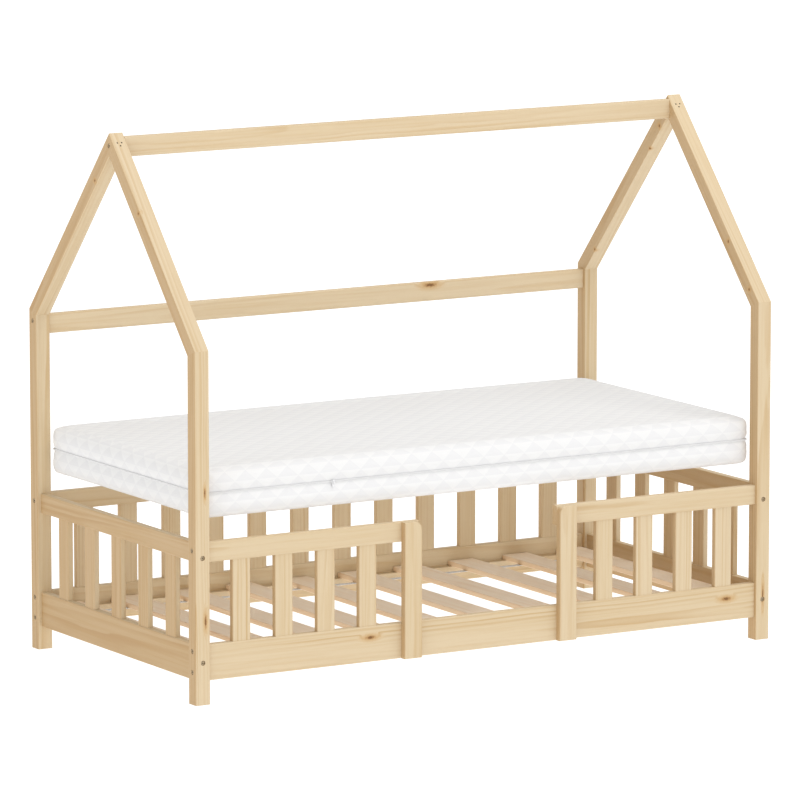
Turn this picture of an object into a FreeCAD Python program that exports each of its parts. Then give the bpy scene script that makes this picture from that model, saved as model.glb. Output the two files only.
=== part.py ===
import FreeCAD, Part
import math
import os

import Sketcher
from FreeCAD import Placement, Rotation, Vector

# A child's bed shaped like a small house, in millimetres. X runs along the bed, Y from the open front (-Y)
# to the back (+Y), Z up. The origin is on the floor, at the middle of the footprint.

doc = FreeCAD.newDocument("house_frame_bed")
sizes = doc.addObject("Spreadsheet::Sheet", "Sizes")

DRIVING_SIZES = {
    # overall
    "bed_length": 1680,  # over the posts, along X
    "bed_depth": 866,  # over the posts, along Y
    "post_width": 40,  # post and rafter, along X
    "post_depth": 38,  # post, along Y, and rafter, square to its slope
    "eave_height": 874.5,  # floor to the outer bend of a gable
    "roof_slope": 48.5,  # degrees from level
    "arris": 3,  # rounding of the long edges of posts, rafters and rails
    # rails
    "rail_thick": 20,
    "rail_height": 50,
    "base_rail_height": 90,
    "base_rail_lift": 58,  # floor to the underside of the base rails
    "guard_height": 402,  # floor to the top of the guards and end panels
    "ridge_drop": 10,  # peak of the gables to the top of the ridge beam
    # balusters
    "baluster_width": 50,
    "baluster_thick": 15,
    "slim_bevel": 1.5,  # bevel of the long edges of balusters and slats
    "mortise_depth": 8,
    "fit_gap": 0.15,  # play of a glued or loose wooden fit, on each side
    "end_balusters": 5,
    "back_balusters": 12,
    "guard_balusters": 4,
    # guard uprights
    "entry_width": 404,  # clear way between the uprights
    "upright_width": 50,
    "upright_thick": 18,
    "upright_round": 20,
    # bed base
    "ledger_width": 20,
    "ledger_height": 30,
    "ledger_top": 101,  # floor to the seat of the slats
    "ledger_inset": 10,  # ledger's end to the post
    "slat_count": 10,
    "slat_width": 77,
    "slat_thick": 13,
    "slat_play": 2,  # slat's end to the rail
    "slat_margin": 5.5,  # first slat's side to the post
    "tape_width": 20,
    "tape_thick": 1,
    "tape_inset": 79,  # rail's inner face to the tape
    # frame screws, with a hexagon socket, sunk in the posts
    "screw_shank": 7,
    "screw_head": 10,
    "screw_head_height": 4.5,
    "screw_length": 65,  # under the head
    "socket_width": 4,  # across flats
    "socket_depth": 2.5,
    "sink_bore": 12.5,
    "sink_depth": 6,
    "screw_play": 0.05,  # on each side
    "pilot_play": 3,  # pilot hole past the screw's tip
    "side_screw_drop": 19.5,  # guard top to the screws along X
    "end_screw_drop": 37,  # guard top to the screws along Y
    "base_screw_low": 23,  # base rail's underside to the lower screw along X
    "base_screw_high": 75,
    "base_screw_end": 47,  # base rail's underside to the screw along Y
    "eave_screw_drop": 16,  # eave rail's top to its screw
    "ridge_screw_drop": 21,  # ridge beam's top to its screw
    # screws that join the rafters of a gable
    "apex_screw": 4,
    "apex_screw_length": 48,
    "apex_screw_run": 30,  # down the slope from the peak
    "apex_screw_stagger": 9,  # the middle one, further down
    "apex_screw_pitch": 6,
    # mattress
    "mattress_end_play": 3,  # to the end rails
    "mattress_side_play": 4,  # to the long rails
    "mattress_thick": 126,
    "mattress_corner": 24,  # plan radius
    "mattress_lift": 339,  # slats to the underside, as it is shown
    "crown": 6,
    "crown_reach": 280,  # edge of the top to where the crown levels off
    "edge_round": 18,
    "waist_depth": 6,  # how far the zip line is drawn in
    "zip_width": 5,
    "zip_thick": 1,
    # zip slider and its pull
    "slider_place": -432,  # along X
    "slider_length": 9,
    "slider_height": 11,
    "slider_thick": 2.4,
    "slider_gap": 0.3,
    "bail_width": 2,
    "bail_height": 8,
    "bail_thick": 1,
    "bail_opening": 2,
    "pull_width": 6,
    "pull_length": 12,  # below its bar
    "pull_thick": 1.2,
    "pull_window": 3,
    "pull_window_length": 5,
}

for row, (alias, value) in enumerate(DRIVING_SIZES.items(), start=1):
    sizes.set(f"A{row}", alias)
    sizes.set(f"B{row}", str(value))
    sizes.setAlias(f"B{row}", alias)
doc.recompute()

# Lines and planes that several pieces share, as formulas on the sheet.
HALF_DEPTH = "Sizes.bed_depth / 2"
GABLE_X = "(Sizes.bed_length - Sizes.post_width) / 2"
INNER_X = "(Sizes.bed_length / 2 - Sizes.post_width)"
INNER_Y = "(Sizes.bed_depth / 2 - Sizes.post_depth)"
RAIL_Y = "(Sizes.bed_depth - Sizes.post_depth) / 2"
EAVE_IN = "(Sizes.eave_height - Sizes.post_depth * tan(45 - Sizes.roof_slope / 2))"
PEAK = "(Sizes.eave_height + Sizes.bed_depth / 2 * tan(Sizes.roof_slope))"
PEAK_IN = f"({PEAK} - Sizes.post_depth / cos(Sizes.roof_slope))"
RIDGE_TOP = f"({PEAK} - Sizes.ridge_drop)"
GUARD_UNDER = "(Sizes.guard_height - Sizes.rail_height)"
BASE_TOP = "(Sizes.base_rail_lift + Sizes.base_rail_height)"
RAIL_INNER_Y = "((Sizes.bed_depth - Sizes.post_depth - Sizes.rail_thick) / 2)"
GUARD_LENGTH = f"({INNER_X} - Sizes.entry_width / 2)"
MATTRESS_X = "((Sizes.bed_length - Sizes.post_width - Sizes.rail_thick) / 2 - Sizes.mattress_end_play)"
MATTRESS_Y = f"({RAIL_INNER_Y} - Sizes.mattress_side_play)"

SIDE_SCREW_Z = "(Sizes.guard_height - Sizes.side_screw_drop)"
END_SCREW_Z = "(Sizes.guard_height - Sizes.end_screw_drop)"
BASE_LOW_Z = "(Sizes.base_rail_lift + Sizes.base_screw_low)"
BASE_HIGH_Z = "(Sizes.base_rail_lift + Sizes.base_screw_high)"
BASE_END_Z = "(Sizes.base_rail_lift + Sizes.base_screw_end)"
EAVE_SCREW_Z = f"({EAVE_IN} - Sizes.eave_screw_drop)"
RIDGE_SCREW_Z = f"({RIDGE_TOP} - Sizes.ridge_screw_drop)"

SCREW_BORE = "Sizes.screw_shank + 2 * Sizes.screw_play"
SIDE_PILOT = "Sizes.sink_depth + Sizes.screw_length - Sizes.post_width + Sizes.pilot_play"
END_PILOT = "Sizes.sink_depth + Sizes.screw_length - Sizes.post_depth + Sizes.pilot_play"


def at(formula):
    """The number that a formula on the sheet has now."""
    return float(sizes.evalExpression(formula))


def origin_part(body, role):
    return next(item for item in body.Origin.OriginFeatures if item.Role == role)


def new_body(label):
    body = doc.addObject("PartDesign::Body", label)
    body.Label = label
    return body


def place(item, x="0", y="0", z="0", turn=0):
    """Puts a piece at x, y, z, turned by so many degrees about Z."""
    item.Placement = Placement(Vector(at(x), at(y), at(z)), Rotation(Vector(0, 0, 1), turn))
    for axis, formula in zip("xyz", (x, y, z)):
        item.setExpression(f"Placement.Base.{axis}", formula)


def sketch_on(body, name, role, across="0", up="0", out="0", tilt=None):
    """A sketch on an origin plane, moved in that plane's own directions and tilted about its first one."""
    sketch = body.newObject("Sketcher::SketchObject", name)
    sketch.AttachmentSupport = [(origin_part(body, role), "")]
    sketch.MapMode = "FlatFace"
    turn = Rotation(Vector(1, 0, 0), at(tilt) if tilt else 0)
    sketch.AttachmentOffset = Placement(Vector(at(across), at(up), at(out)), turn)
    for axis, formula in zip("xyz", (across, up, out)):
        sketch.setExpression(f"AttachmentOffset.Base.{axis}", formula)
    if tilt:
        sketch.setExpression("AttachmentOffset.Rotation.Angle", tilt)
    return sketch


def draw_outline(sketch, corners):
    """A closed outline through corners, each a pair of formulas."""
    points = [Vector(at(across), at(up), 0) for across, up in corners]
    count = len(points)
    for index in range(count):
        sketch.addGeometry(Part.LineSegment(points[index], points[(index + 1) % count]), False)
    for index in range(count):
        sketch.addConstraint(Sketcher.Constraint("Coincident", index, 2, (index + 1) % count, 1))
    for index, formulas in enumerate(corners):
        for kind, formula in zip(("DistanceX", "DistanceY"), formulas):
            number = sketch.addConstraint(Sketcher.Constraint(kind, -1, 1, index, 1, at(formula)))
            sketch.setExpression(f"Constraints[{number}]", formula)
    return sketch


def draw_rectangle(sketch, wide, tall):
    """A rectangle centred on the sketch's origin."""
    left, right = f"-({wide}) / 2", f"({wide}) / 2"
    low, high = f"-({tall}) / 2", f"({tall}) / 2"
    return draw_outline(sketch, [(left, low), (right, low), (right, high), (left, high)])


def draw_circle(sketch, diameter):
    sketch.addGeometry(Part.Circle(Vector(), Vector(0, 0, 1), at(diameter) / 2), False)
    sketch.addConstraint(Sketcher.Constraint("Coincident", 0, 3, -1, 1))
    number = sketch.addConstraint(Sketcher.Constraint("Diameter", 0, at(diameter)))
    sketch.setExpression(f"Constraints[{number}]", diameter)
    return sketch


def draw_octagon(sketch, across_flats):
    """The section of a hole that nobody sees into, as wide as the round one it stands for."""
    half, side = f"({across_flats}) / 2", f"({across_flats}) / 2 * tan(22.5)"
    less_half, less_side = f"-({half})", f"-({side})"
    ring = [(half, less_side), (half, side), (side, half), (less_side, half)]
    ring += [(less_half, side), (less_half, less_side), (less_side, less_half), (side, less_half)]
    return draw_outline(sketch, ring)


def pad(body, sketch, length, symmetric=False):
    feature = body.newObject("PartDesign::Pad", f"{sketch.Name}_pad")
    feature.Profile = sketch
    feature.setExpression("Length", length)
    if symmetric:
        feature.SideType = "Symmetric"
    doc.recompute()
    return feature


def pocket(body, sketch, depth, against=False):
    """Cuts the sketch's outline into the body, along the sketch's normal or against it."""
    before = body.Shape.Volume
    feature = body.newObject("PartDesign::Pocket", f"{sketch.Name}_cut")
    feature.Profile = sketch
    feature.Reversed = not against
    feature.setExpression("Length", depth)
    doc.recompute()
    if body.Shape.Volume > before - 1e-3:
        raise RuntimeError(f"{body.Label}: {sketch.Name} cuts nothing")
    return feature


def ease(body, feature, kind, radius, chosen):
    """Rounds ("Fillet") or bevels ("Chamfer") the edges of the feature for which chosen(edge) is true."""
    names = [f"Edge{n}" for n, edge in enumerate(feature.Shape.Edges, 1) if chosen(edge)]
    easing = body.newObject(f"PartDesign::{kind}", f"{feature.Name}_{kind.lower()}")
    easing.Base = (feature, names)
    easing.setExpression("Radius" if kind == "Fillet" else "Size", radius)
    doc.recompute()
    return easing


def runs_along(direction):
    """A test for straight edges parallel to a direction."""
    unit = Vector(*direction).normalize()

    def test(edge):
        way = edge.valueAt(edge.LastParameter) - edge.valueAt(edge.FirstParameter)
        return way.Length > 0 and abs(way.normalize().dot(unit)) > 0.999

    return test


def repeat(body, features, step, count, role="X_Axis"):
    """Copies features along an axis of the body, count in all."""
    pattern = body.newObject("PartDesign::LinearPattern", f"{features[0].Name}_row")
    pattern.Originals = features
    pattern.Direction = (origin_part(body, role), [""])
    pattern.Mode = "Spacing"
    pattern.setExpression("Offset", step)
    pattern.setExpression("Occurrences", count)
    body.Tip = pattern
    doc.recompute()
    return pattern


def both_ends(body, features):
    """Mirrors features to the bar's other end."""
    mirrored = body.newObject("PartDesign::Mirrored", f"{features[0].Name}_mirrored")
    mirrored.Originals = features
    mirrored.MirrorPlane = (origin_part(body, "YZ_Plane"), [""])
    body.Tip = mirrored
    doc.recompute()
    return mirrored


def sunk_bore(body, name, role, through, spot, against=False):
    """The hole of a frame screw, with the wider round mouth that its head sinks into."""
    mouth = draw_circle(sketch_on(body, f"{name}_mouth", role, *spot), "Sizes.sink_bore")
    pocket(body, mouth, "Sizes.sink_depth", against)
    pocket(body, draw_octagon(sketch_on(body, f"{name}_hole", role, *spot), SCREW_BORE), through, against)


# Posts and rafters. Each is drawn for the front half of a gable, in the gable's own plane, centred on its
# thickness. A back piece is the same drawing turned half round about Z. hand is -1 where the gable's outer
# face, which the screws enter, is at -X in the drawing, and 1 where it is at +X.


def gable_blank(label, outline, edge_way):
    body = new_body(label)
    profile = draw_outline(sketch_on(body, f"{label}_profile", "YZ_Plane"), outline)
    blank = pad(body, profile, "Sizes.post_width", True)
    ease(body, blank, "Fillet", "Sizes.arris", runs_along(edge_way))
    return body


def post(label, hand, side_heights):
    front, inner = f"-{HALF_DEPTH}", f"-{INNER_Y}"
    outline = [(front, "0"), (inner, "0"), (inner, EAVE_IN), (front, "Sizes.eave_height")]
    body = gable_blank(label, outline, (0, 0, 1))
    for index, height in enumerate(side_heights):
        spot = (f"-{RAIL_Y}", height, f"{hand} * Sizes.post_width / 2")
        sunk_bore(body, f"{label}_side_{index}", "YZ_Plane", "Sizes.post_width", spot, hand > 0)
    for index, height in enumerate((END_SCREW_Z, BASE_END_Z)):
        spot = ("0", height, HALF_DEPTH)
        sunk_bore(body, f"{label}_end_{index}", "XZ_Plane", "Sizes.post_depth", spot, True)
    return body


def rafter(label, hand, screw_way):
    """screw_way is 1 where the apex screws enter, and -1 where they end."""
    front, inner = f"-{HALF_DEPTH}", f"-{INNER_Y}"
    outline = [(front, "Sizes.eave_height"), (inner, EAVE_IN), ("0", PEAK_IN), ("0", PEAK)]
    slope = math.radians(at("Sizes.roof_slope"))
    body = gable_blank(label, outline, (0, math.cos(slope), math.sin(slope)))
    spot = ("0", RIDGE_SCREW_Z, f"{hand} * Sizes.post_width / 2")
    sunk_bore(body, f"{label}_ridge", "YZ_Plane", "Sizes.post_width", spot, hand > 0)
    for index in (-1, 0, 1):
        run = f"(Sizes.apex_screw_run + {1 - abs(index)} * Sizes.apex_screw_stagger)"
        spot = (f"{index} * Sizes.apex_screw_pitch", f"{-screw_way} * {run} * cos(Sizes.roof_slope)",
                f"{PEAK} - {run} * sin(Sizes.roof_slope)", f"{screw_way} * Sizes.roof_slope")
        bore = draw_octagon(sketch_on(body, f"{label}_apex_{index + 1}", "XY_Plane", *spot), "Sizes.apex_screw")
        pocket(body, bore, "Sizes.apex_screw_length", True)
    return body


# Bars. Each lies along X, centred on X and Y, with its underside at z = 0, before it is placed.


def bar(label, length, thick, tall, easing=None, size=None):
    body = new_body(label)
    section = draw_rectangle(sketch_on(body, f"{label}_section", "YZ_Plane", "0", f"({tall}) / 2"), thick, tall)
    blank = pad(body, section, length, True)
    if easing:
        ease(body, blank, easing, size, runs_along((1, 0, 0)))
    return body


def rail(label, length, tall="Sizes.rail_height"):
    return bar(label, length, "Sizes.rail_thick", tall, "Fillet", "Sizes.arris")


def pilots(body, length, heights, depth, mirrored=True):
    """Holes in the end grain for the frame screws, at heights above the bar's underside."""
    cuts = []
    for index, height in enumerate(heights):
        mouth = sketch_on(body, f"{body.Name}_pilot_{index}", "YZ_Plane", "0", height, f"({length}) / 2")
        cuts.append(pocket(body, draw_octagon(mouth, SCREW_BORE), depth, True))
    if mirrored:
        both_ends(body, cuts)


def mortises(body, name, first, step, count, top=None):
    """A row of mortises for balusters, in the bar's underside or, at height top, in its upper side."""
    sketch = sketch_on(body, name, "XY_Plane", first, "0", top or "0")
    wide = "Sizes.baluster_width + 2 * Sizes.fit_gap"
    deep = "Sizes.baluster_thick + 2 * Sizes.fit_gap"
    cut = pocket(body, draw_rectangle(sketch, wide, deep), "Sizes.mortise_depth", top is not None)
    repeat(body, [cut], step, count)


def baluster_step(span, count):
    """Distance from baluster to baluster where all the gaps across a span are alike."""
    return f"((({span}) - {count} * Sizes.baluster_width) / ({count} + 1) + Sizes.baluster_width)"


def baluster_row(label, first, step, count, y, x="0", turn=0):
    """Upright boards, let into the rails above and below them."""
    body = new_body(label)
    section = sketch_on(body, f"{label}_section", "XY_Plane", first)
    draw_rectangle(section, "Sizes.baluster_width", "Sizes.baluster_thick")
    blank = pad(body, section, f"{GUARD_UNDER} - {BASE_TOP} + 2 * (Sizes.mortise_depth - Sizes.fit_gap)")
    row = repeat(body, [blank], step, count)
    ease(body, row, "Chamfer", "Sizes.slim_bevel", runs_along((0, 0, 1)))
    place(body, x, y, f"{BASE_TOP} - Sizes.mortise_depth + Sizes.fit_gap", turn)


def closed_panel(name, span, count, top_screw, base_screws, pilot, x="0", y="0", turn=0):
    """Top rail, base rail and balusters between two posts."""
    step = baluster_step(span, count)
    first = f"-({span}) / 2 + {step} - Sizes.baluster_width / 2"
    top = rail(f"{name}_top_rail", span)
    mortises(top, f"{name}_top_mortise", first, step, count)
    pilots(top, span, [f"{top_screw} - {GUARD_UNDER}"], pilot)
    place(top, x, y, GUARD_UNDER, turn)
    base = rail(f"{name}_base_rail", span, "Sizes.base_rail_height")
    mortises(base, f"{name}_base_mortise", first, step, count, "Sizes.base_rail_height")
    pilots(base, span, base_screws, pilot)
    place(base, x, y, "Sizes.base_rail_lift", turn)
    baluster_row(f"{name}_balusters", first, step, count, y, x, turn)


def entry_front():
    """The front base rail, and at each end of it a guard, with the entry between them."""
    upright_outer = "(Sizes.entry_width / 2 + Sizes.upright_width)"
    step = baluster_step(f"{INNER_X} - {upright_outer}", "Sizes.guard_balusters")
    nearest = f"({upright_outer} + {step} - Sizes.baluster_width / 2)"
    farthest = f"({step} - Sizes.baluster_width / 2 - {INNER_X})"
    span = f"2 * {INNER_X}"
    base = rail("front_base_rail", span, "Sizes.base_rail_height")
    for side_name, first in (("left", farthest), ("right", nearest)):
        name = f"front_{side_name}_mortise"
        mortises(base, name, first, step, "Sizes.guard_balusters", "Sizes.base_rail_height")
    pilots(base, span, ["Sizes.base_screw_low", "Sizes.base_screw_high"], SIDE_PILOT)
    place(base, "0", f"-{RAIL_Y}", "Sizes.base_rail_lift")
    middle = f"({INNER_X} + Sizes.entry_width / 2) / 2"
    for side_name, side, turn, first in (("left", -1, 180, farthest), ("right", 1, 0, nearest)):
        guard = rail(f"{side_name}_guard_rail", GUARD_LENGTH)
        mortises(guard, f"{side_name}_guard_mortise", f"{nearest} - {middle}", step, "Sizes.guard_balusters")
        pilots(guard, GUARD_LENGTH, [f"{SIDE_SCREW_Z} - {GUARD_UNDER}"], SIDE_PILOT, False)
        place(guard, f"{side} * {middle}", f"-{RAIL_Y}", GUARD_UNDER, turn)
        baluster_row(f"{side_name}_guard_balusters", first, step, "Sizes.guard_balusters", f"-{RAIL_Y}")
        guard_upright(f"{side_name}_guard_upright", side)


def guard_upright(label, side):
    """Planted on the fronts of guard and base rail, its top corner rounded towards the entry."""
    body = new_body(label)
    tall = "(Sizes.guard_height - Sizes.base_rail_lift)"
    face = sketch_on(body, f"{label}_face", "XZ_Plane", "0", f"{tall} / 2")
    blank = pad(body, draw_rectangle(face, "Sizes.upright_width", tall), "Sizes.upright_thick", True)
    top, front = at(tall), -at("Sizes.upright_thick") / 2

    def entry_corner(edge):
        spot = edge.CenterOfMass
        return runs_along((0, 1, 0))(edge) and spot.z > top - 1 and spot.x * side < 0

    rounded = ease(body, blank, "Fillet", "Sizes.upright_round", entry_corner)
    ease(body, rounded, "Chamfer", "Sizes.slim_bevel", lambda edge: abs(edge.CenterOfMass.y - front) < 1e-6)
    place(body, f"{side} * (Sizes.entry_width + Sizes.upright_width) / 2",
          f"-({RAIL_Y} + (Sizes.rail_thick + Sizes.upright_thick) / 2)", "Sizes.base_rail_lift")


def roof_beams():
    span = f"2 * {INNER_X}"
    ridge = rail("ridge_beam", span)
    pilots(ridge, span, ["Sizes.rail_height - Sizes.ridge_screw_drop"], SIDE_PILOT)
    place(ridge, "0", "0", f"{RIDGE_TOP} - Sizes.rail_height")
    eave = rail("back_eave_rail", span)
    pilots(eave, span, ["Sizes.rail_height - Sizes.eave_screw_drop"], SIDE_PILOT)
    place(eave, "0", RAIL_Y, f"{EAVE_IN} - Sizes.rail_height")


def bed_base():
    """Slats across the bed, on a ledger along each base rail, kept apart by two webbing tapes."""
    ledger_length = f"2 * ({INNER_X} - Sizes.ledger_inset)"
    tape_length = f"2 * ({INNER_X} - Sizes.slat_margin)"
    for side_name, side in (("front", -1), ("back", 1)):
        ledger = bar(f"{side_name}_slat_ledger", ledger_length, "Sizes.ledger_width", "Sizes.ledger_height")
        place(ledger, "0", f"{side} * ({RAIL_INNER_Y} - Sizes.ledger_width / 2)",
              "Sizes.ledger_top - Sizes.ledger_height")
        tape = bar(f"{side_name}_slat_tape", tape_length, "Sizes.tape_width", "Sizes.tape_thick")
        place(tape, "0", f"{side} * ({RAIL_INNER_Y} - Sizes.tape_inset - Sizes.tape_width / 2)",
              "Sizes.ledger_top - Sizes.tape_thick")
    step = f"(({tape_length} - Sizes.slat_width) / (Sizes.slat_count - 1))"
    for number in range(int(at("Sizes.slat_count"))):
        slat = bar(f"slat_{number + 1:02d}", f"2 * ({RAIL_INNER_Y} - Sizes.slat_play)", "Sizes.slat_width",
                   "Sizes.slat_thick", "Chamfer", "Sizes.slim_bevel")
        place(slat, f"({number} - (Sizes.slat_count - 1) / 2) * {step}", "0", "Sizes.ledger_top", 90)


# Screws: each kind is one group of like solids, on the same lines as the holes that they fill.


def shown(label, shape, height=0.0):
    item = doc.addObject("Part::Feature", label)
    item.Label = label
    item.Shape = shape
    item.Placement = Placement(Vector(0, 0, height), Rotation())
    return item


def laid(solid, base, direction):
    """A copy of a solid drawn along +Z, with its z = 0 end at base and its length along direction."""
    copy = solid.copy()
    copy.Placement = Placement(base, Rotation(Vector(0, 0, 1), direction))
    return copy


def prism(sides, across_flats, length, first_corner=0.0):
    """A regular prism on +Z, its first corner so many degrees from +X."""
    radius = across_flats / 2 / math.cos(math.pi / sides)
    angles = [math.radians(first_corner) + 2 * math.pi * k / sides for k in range(sides + 1)]
    corners = [Vector(radius * math.cos(a), radius * math.sin(a), 0) for a in angles]
    return Part.Face(Part.makePolygon(corners)).extrude(Vector(0, 0, length))


def frame_screw():
    """Head with a hexagon socket, its top at z = 0, and an eight-sided shank as wide as the thread."""
    head_height = at("Sizes.screw_head_height")
    head = prism(12, at("Sizes.screw_head"), head_height, 15)
    socket = prism(6, at("Sizes.socket_width"), at("Sizes.socket_depth"))
    shank = prism(8, at("Sizes.screw_shank"), at("Sizes.screw_length"), 22.5)
    shank.translate(Vector(0, 0, head_height))
    return head.cut(socket).fuse(shank)


def frame_screws():
    sunk = at("Sizes.sink_depth - Sizes.screw_head_height")
    outer_x, outer_y = at("Sizes.bed_length / 2") - sunk, at(HALF_DEPTH) - sunk
    rail_y, gable_x = at(RAIL_Y), at(GABLE_X)
    one = frame_screw()
    solids = []
    for side in (-1, 1):
        rows = [(y, at(z)) for y in (-rail_y, rail_y) for z in (SIDE_SCREW_Z, BASE_LOW_Z, BASE_HIGH_Z)]
        rows += [(rail_y, at(EAVE_SCREW_Z)), (0, at(RIDGE_SCREW_Z))]
        solids += [laid(one, Vector(side * outer_x, y, z), Vector(-side, 0, 0)) for y, z in rows]
        for end in (-1, 1):
            for height in (at(END_SCREW_Z), at(BASE_END_Z)):
                solids.append(laid(one, Vector(side * gable_x, end * outer_y, height), Vector(0, -end, 0)))
    shown("frame_screws", Part.makeCompound(solids))


def apex_screws():
    """Three in each gable, square to the front slope, through the front rafter into the back one."""
    slope = math.radians(at("Sizes.roof_slope"))
    one = prism(8, at("Sizes.apex_screw"), at("Sizes.apex_screw_length"), 22.5)
    into = Vector(0, math.sin(slope), -math.cos(slope))
    solids = []
    for side in (-1, 1):
        for index in (-1, 0, 1):
            run = at("Sizes.apex_screw_run") + (1 - abs(index)) * at("Sizes.apex_screw_stagger")
            x = side * at(GABLE_X) + index * at("Sizes.apex_screw_pitch")
            solids.append(laid(one, Vector(x, -run * math.cos(slope), at(PEAK) - run * math.sin(slope)), into))
    shown("apex_screws", Part.makeCompound(solids))


# Mattress. Its plan is a rectangle with round corners, drawn in by an inset at each height.


def plan(inset, height):
    """Closed plan outline at a height, so far inside the mattress's full size."""
    half_x, half_y = at(MATTRESS_X) - inset, at(MATTRESS_Y) - inset
    radius = max(at("Sizes.mattress_corner") - inset, at("Sizes.mattress_corner") / 4)
    arcs = []
    for sx, sy in ((1, 1), (-1, 1), (-1, -1), (1, -1)):
        centre = Vector(sx * (half_x - radius), sy * (half_y - radius), height)
        ends = [centre + Vector(sx * radius, 0, 0), centre + Vector(0, sy * radius, 0)]
        if sx * sy < 0:
            ends.reverse()
        middle = centre + Vector(sx, sy, 0) * (radius / math.sqrt(2))
        arcs.append(Part.Arc(ends[0], middle, ends[1]).toShape())
    edges = []
    for arc, following in zip(arcs, arcs[1:] + arcs[:1]):
        start, end = arc.valueAt(arc.LastParameter), following.valueAt(following.FirstParameter)
        edges += [arc, Part.LineSegment(start, end).toShape()]
    return Part.Wire(edges)


def mattress(base):
    """Rounded edges, a waist drawn in where the zip runs, a flat underside and a crowned top."""
    thick, crown, edge = at("Sizes.mattress_thick"), at("Sizes.crown"), at("Sizes.edge_round")
    waist, band = at("Sizes.waist_depth"), at("Sizes.zip_width")
    seam = (thick - band) / 2
    top = thick - crown
    turns = [math.radians(angle) for angle in (0, 45, 90)]
    rounding = [(edge * (1 - math.sin(a)), edge * (1 - math.cos(a))) for a in turns]
    drawn_in = [(waist * s**3, s) for s in (0.7, 1)]
    lower = rounding[::2] + [(inset, edge + s * (seam - edge)) for inset, s in drawn_in]
    upper = rounding + [(inset, edge + s * (top - seam - band - edge)) for inset, s in drawn_in]
    rows = lower + [(inset, top - depth) for inset, depth in reversed(upper)]
    reach = at("Sizes.crown_reach")
    rows += [(edge + s * reach, top + crown * (1 - (1 - s) ** 2)) for s in (0.35, 1)]
    shown("mattress", Part.makeLoft([plan(inset, z) for inset, z in rows], True, True), base)


def mattress_zip(base):
    """The zip's tape and teeth, as one flat ring on the waist."""
    waist, band = at("Sizes.waist_depth"), at("Sizes.zip_width")
    outer, inner = plan(waist - at("Sizes.zip_thick"), 0), plan(waist, 0)
    ring = Part.Face(outer).cut(Part.Face(inner)).extrude(Vector(0, 0, band))
    shown("mattress_zip", ring, base + (at("Sizes.mattress_thick") - band) / 2)


def block(x_size, y_size, z_size, centre):
    return Part.makeBox(x_size, y_size, z_size, centre - Vector(x_size, y_size, z_size) / 2)


def zip_slider(base):
    """Slider on the zip's front run, and the pull that hangs by a round bar in the slider's bail."""
    back = at(f"Sizes.waist_depth - Sizes.zip_thick - {MATTRESS_Y} - Sizes.slider_gap")
    deep, opening, strap = at("Sizes.slider_thick"), at("Sizes.bail_opening"), at("Sizes.bail_thick")
    wide, tall = at("Sizes.bail_width"), at("Sizes.bail_height")
    centre = Vector(at("Sizes.slider_place"), back - deep / 2, base + at("Sizes.mattress_thick") / 2)
    body = block(at("Sizes.slider_length"), deep, at("Sizes.slider_height"), centre)
    body = body.makeChamfer(deep / 2, [edge for edge in body.Edges if runs_along((0, 1, 0))(edge)])
    bail_y = back - deep - (opening + strap) / 2
    bail = block(wide, opening + strap, tall, Vector(centre.x, bail_y, centre.z))
    inside = block(wide, opening, tall - 2 * strap, Vector(centre.x, bail_y + strap / 2, centre.z))
    shown("zip_slider", body.fuse(bail.cut(inside)))
    thick, width = at("Sizes.pull_thick"), at("Sizes.pull_width")
    length, window = at("Sizes.pull_length"), at("Sizes.pull_window_length")
    seat = centre.z - tall / 2 + strap
    hinge = Vector(centre.x, back - deep - opening / 2, seat + thick / 2 + at("Sizes.slider_gap"))
    plate = block(width, thick, length, hinge - Vector(0, 0, length / 2))
    upright = [edge for edge in plate.Edges if runs_along((0, 1, 0))(edge)]
    low = hinge.z - length + thick
    plate = plate.makeChamfer(thick, [edge for edge in upright if edge.CenterOfMass.z < low])
    plate = plate.cut(block(at("Sizes.pull_window"), thick, window, hinge - Vector(0, 0, window / 2)))
    round_bar = Part.makeCylinder(thick / 2, width, hinge - Vector(width / 2, 0, 0), Vector(1, 0, 0))
    shown("zip_pull", plate.fuse(round_bar))


def gables():
    for end_name, end in (("front", -1), ("back", 1)):
        for side_name, side in (("left", -1), ("right", 1)):
            hand = -side * end
            turn = 0 if end < 0 else 180
            heights = [SIDE_SCREW_Z, BASE_LOW_Z, BASE_HIGH_Z] + ([EAVE_SCREW_Z] if end > 0 else [])
            corner, across = f"{end_name}_{side_name}", f"{side} * {GABLE_X}"
            place(post(f"{corner}_post", hand, heights), across, "0", "0", turn)
            place(rafter(f"{corner}_rafter", hand, -end), across, "0", "0", turn)


gables()
roof_beams()
for side_name, side in (("left", -1), ("right", 1)):
    closed_panel(f"{side_name}_end", f"2 * {INNER_Y}", "Sizes.end_balusters", END_SCREW_Z,
                 ["Sizes.base_screw_end"], END_PILOT, f"{side} * {GABLE_X}", "0", 90)
closed_panel("back", f"2 * {INNER_X}", "Sizes.back_balusters", SIDE_SCREW_Z,
             ["Sizes.base_screw_low", "Sizes.base_screw_high"], SIDE_PILOT, "0", RAIL_Y)
entry_front()
bed_base()
frame_screws()
apex_screws()
underside = at("Sizes.ledger_top + Sizes.slat_thick + Sizes.mattress_lift")
mattress(underside)
mattress_zip(underside)
zip_slider(underside)
doc.recompute()

os.makedirs("parts", exist_ok=True)
for item in doc.Objects:
    if {"Invalid", "Error"} & set(item.State):
        raise RuntimeError(f"{item.Name} failed: {item.State}")
made = [item for item in doc.Objects
        if item.TypeId in ("PartDesign::Body", "Part::Feature") and item.getParentGeoFeatureGroup() is None]
for item in made:
    shape = item.Shape
    if shape.isNull() or not shape.isValid():
        raise RuntimeError(f"{item.Label} has no valid shape")
    shape.exportStep(f"parts/{item.Label}.step")
    print(f"{item.Label:24s} {len(shape.Solids):3d} solids {shape.Volume / 1000:10.1f} cm3")
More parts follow.
